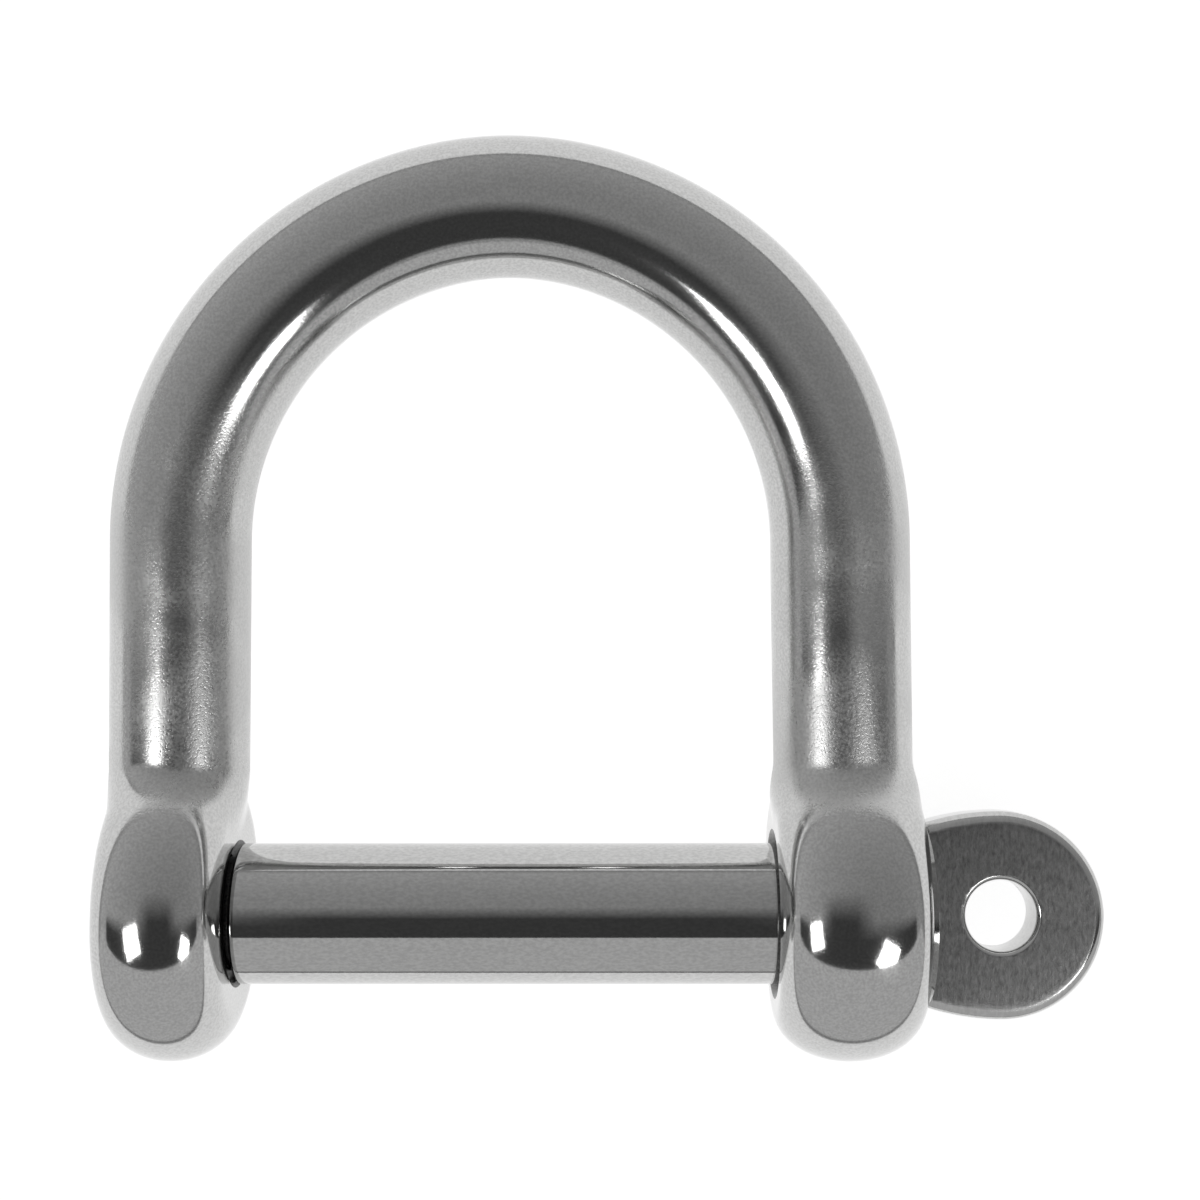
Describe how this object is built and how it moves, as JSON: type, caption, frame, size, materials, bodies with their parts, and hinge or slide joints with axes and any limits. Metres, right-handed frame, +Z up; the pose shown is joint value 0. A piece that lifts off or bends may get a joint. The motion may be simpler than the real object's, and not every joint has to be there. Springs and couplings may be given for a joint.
{
  "type": "dee shackle",
  "caption": "Screw-pin dee shackle: a D-shaped bow of round bar with an eye at each end, closed by a threaded pin with a flat eye head.",
  "frame": {"origin": "middle of the shackle's footprint, on the surface that it lies on", "axes": "+X along the pin from the tapped eye to the pin's head, +Y from the pin towards the crown, +Z up from the surface"},
  "size_m": [0.071, 0.0654, 0.0207],
  "materials": {
    "bow_steel": "polished",
    "pin_steel": "polished"
  },
  "bodies": {
    "bow": {"bow": "bow_steel"},
    "screw_pin": {"screw_pin": "pin_steel"}
  },
  "joints": [
    {"name": "pin_withdraw", "type": "slide", "parent": "bow", "child": "screw_pin", "axis": [1, 0, 0], "range_m": [0, 0.063]}
  ]
}
